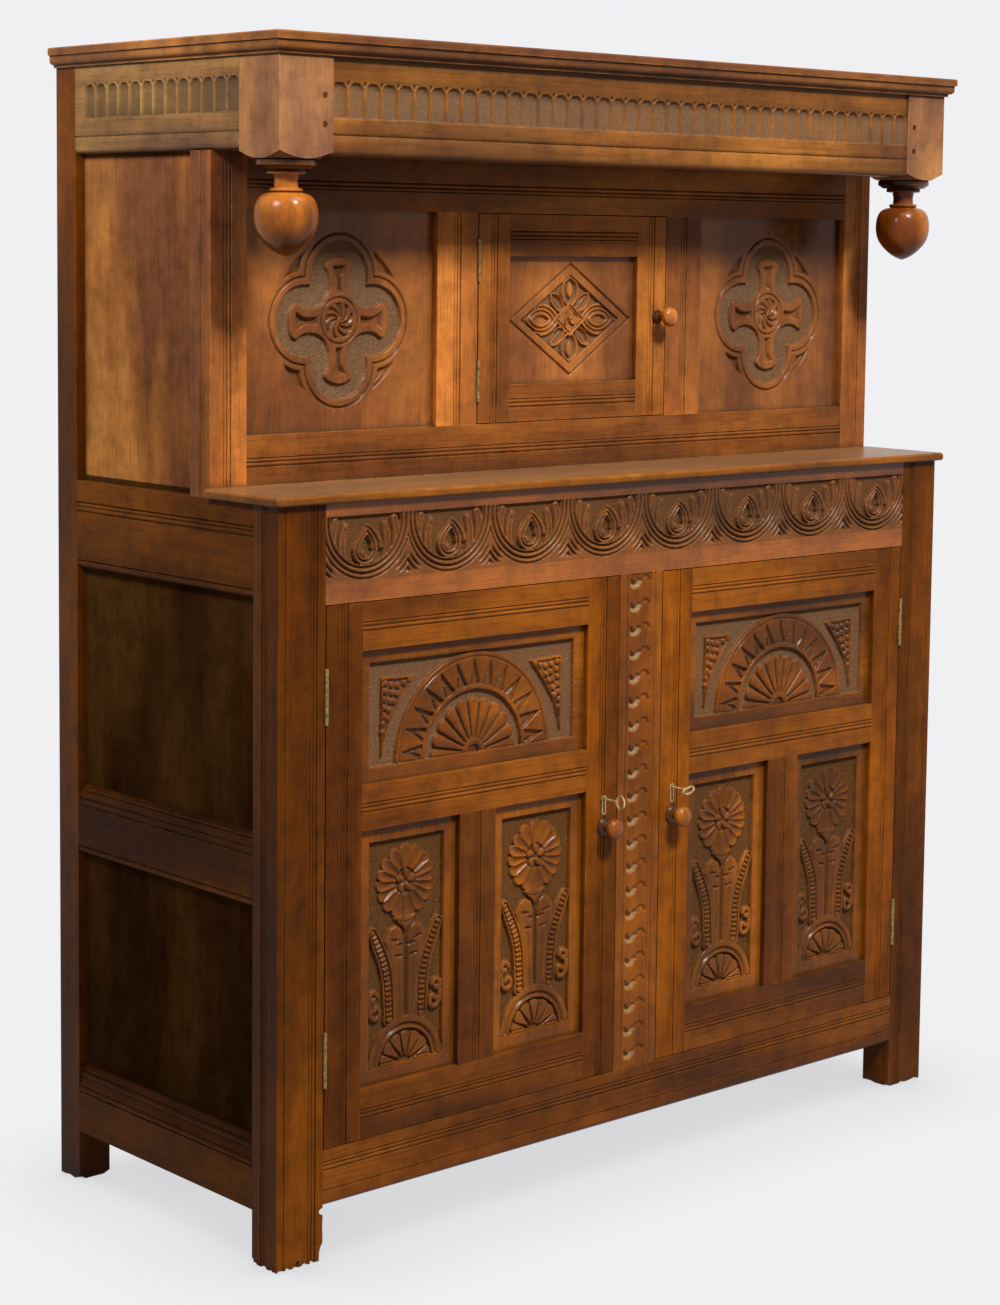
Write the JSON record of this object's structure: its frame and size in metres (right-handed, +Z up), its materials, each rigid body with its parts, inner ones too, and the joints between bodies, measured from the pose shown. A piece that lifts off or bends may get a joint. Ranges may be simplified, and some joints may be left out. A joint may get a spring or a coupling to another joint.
{
  "type": "court cupboard",
  "caption": "Carved oak court cupboard: a panelled two-door base, a set-back upper cupboard with one door, and a canopy with turned pendants.",
  "frame": {"origin": "on the floor, under the middle of the whole object's box, keys included", "axes": "+X to the right seen from the front, +Y to the back, +Z up"},
  "size_m": [1.348, 0.5628, 1.625],
  "materials": {
    "oak_frame": "waxed oak, mid brown, softly glossy on worn edges",
    "oak_carved": "carved oak with a dark, matt, stained ground",
    "oak_panel": "plain oak panels, waxed",
    "oak_top": "waxed oak boards",
    "oak_turned": "turned oak, dark and polished",
    "oak_inside": "plain sawn oak boards, unpolished",
    "brass": "aged brass",
    "iron": "dark iron"
  },
  "bodies": {
    "carcass": {"front_stile_left": "oak_frame", "front_stile_right": "oak_frame", "rear_stile_left": "oak_frame", "rear_stile_right": "oak_frame", "frieze_rail": "oak_carved", "plinth_rail": "oak_frame", "centre_muntin": "oak_carved", "side_rails_left": "oak_frame", "side_rails_right": "oak_frame", "side_panels_left": "oak_panel", "side_panels_right": "oak_panel", "back_rails": "oak_panel", "back_panels": "oak_panel", "base_floor": "oak_inside", "base_shelf": "oak_inside", "shelf_bearers": "oak_inside", "table_top": "oak_top", "upper_stile_left": "oak_frame", "upper_stile_right": "oak_frame", "upper_top_rail": "oak_frame", "upper_bottom_rail": "oak_frame", "upper_muntins": "oak_frame", "upper_panel_left": "oak_carved", "upper_panel_right": "oak_carved", "soffit_board": "oak_inside", "canopy_front_rail": "oak_carved", "canopy_side_rail_left": "oak_carved", "canopy_side_rail_right": "oak_carved", "corner_block_left": "oak_frame", "corner_block_right": "oak_frame", "pendant_left": "oak_turned", "pendant_right": "oak_turned", "cornice_board": "oak_top", "pegs": "oak_turned", "frame_hinge_leaves": "brass"},
    "left_door": {"left_door_stiles": "oak_frame", "left_door_rails": "oak_frame", "left_door_fan_panel": "oak_carved", "left_door_flower_panels": "oak_carved", "left_door_knob": "oak_turned", "left_escutcheon": "brass", "left_lock_case": "iron", "left_door_hinge_leaves": "brass"},
    "left_key": {"left_key": "brass"},
    "left_bolt": {"left_lock_bolt": "iron"},
    "right_door": {"right_door_stiles": "oak_frame", "right_door_rails": "oak_frame", "right_door_fan_panel": "oak_carved", "right_door_flower_panels": "oak_carved", "right_door_knob": "oak_turned", "right_escutcheon": "brass", "right_lock_case": "iron", "right_door_hinge_leaves": "brass"},
    "right_key": {"right_key": "brass"},
    "right_bolt": {"right_lock_bolt": "iron"},
    "upper_door": {"upper_door_frame": "oak_frame", "upper_door_panel": "oak_carved", "upper_door_hinge_leaves": "brass"},
    "upper_knob": {"upper_knob": "oak_turned", "upper_catch": "oak_turned"}
  },
  "joints": [
    {"name": "left_door_hinge", "type": "hinge", "parent": "carcass", "child": "left_door", "pos_m": [-0.581, -0.24, 0.518], "axis": [0, 0, -1], "range_deg": [0, 170]},
    {"name": "right_door_hinge", "type": "hinge", "parent": "carcass", "child": "right_door", "pos_m": [0.581, -0.24, 0.518], "axis": [0, 0, 1], "range_deg": [0, 170]},
    {"name": "upper_door_hinge", "type": "hinge", "parent": "carcass", "child": "upper_door", "pos_m": [-0.19, -0.09, 1.2505], "axis": [0, 0, -1], "range_deg": [0, 165]},
    {"name": "left_key_turn", "type": "hinge", "parent": "left_door", "child": "left_key", "pos_m": [-0.07, -0.2386, 0.5605], "axis": [0, 1, 0], "range_deg": [0, 180]},
    {"name": "left_bolt_throw", "type": "slide", "parent": "left_door", "child": "left_bolt", "axis": [1, 0, 0], "range_m": [0, 0.012]},
    {"name": "right_key_turn", "type": "hinge", "parent": "right_door", "child": "right_key", "pos_m": [0.07, -0.2386, 0.5605], "axis": [0, -1, 0], "range_deg": [0, 242]},
    {"name": "right_bolt_throw", "type": "slide", "parent": "right_door", "child": "right_bolt", "axis": [-1, 0, 0], "range_m": [0, 0.012]},
    {"name": "upper_knob_turn", "type": "hinge", "parent": "upper_door", "child": "upper_knob", "pos_m": [0.1725, -0.0886, 1.25], "axis": [0, -1, 0], "range_deg": [0, 90]}
  ],
  "couplings": [
    {"joint": "left_bolt_throw", "follows": "left_key_turn", "m_per_rad": 0.0038197},
    {"joint": "right_bolt_throw", "follows": "right_key_turn", "m_per_rad": 0.0028411}
  ]
}
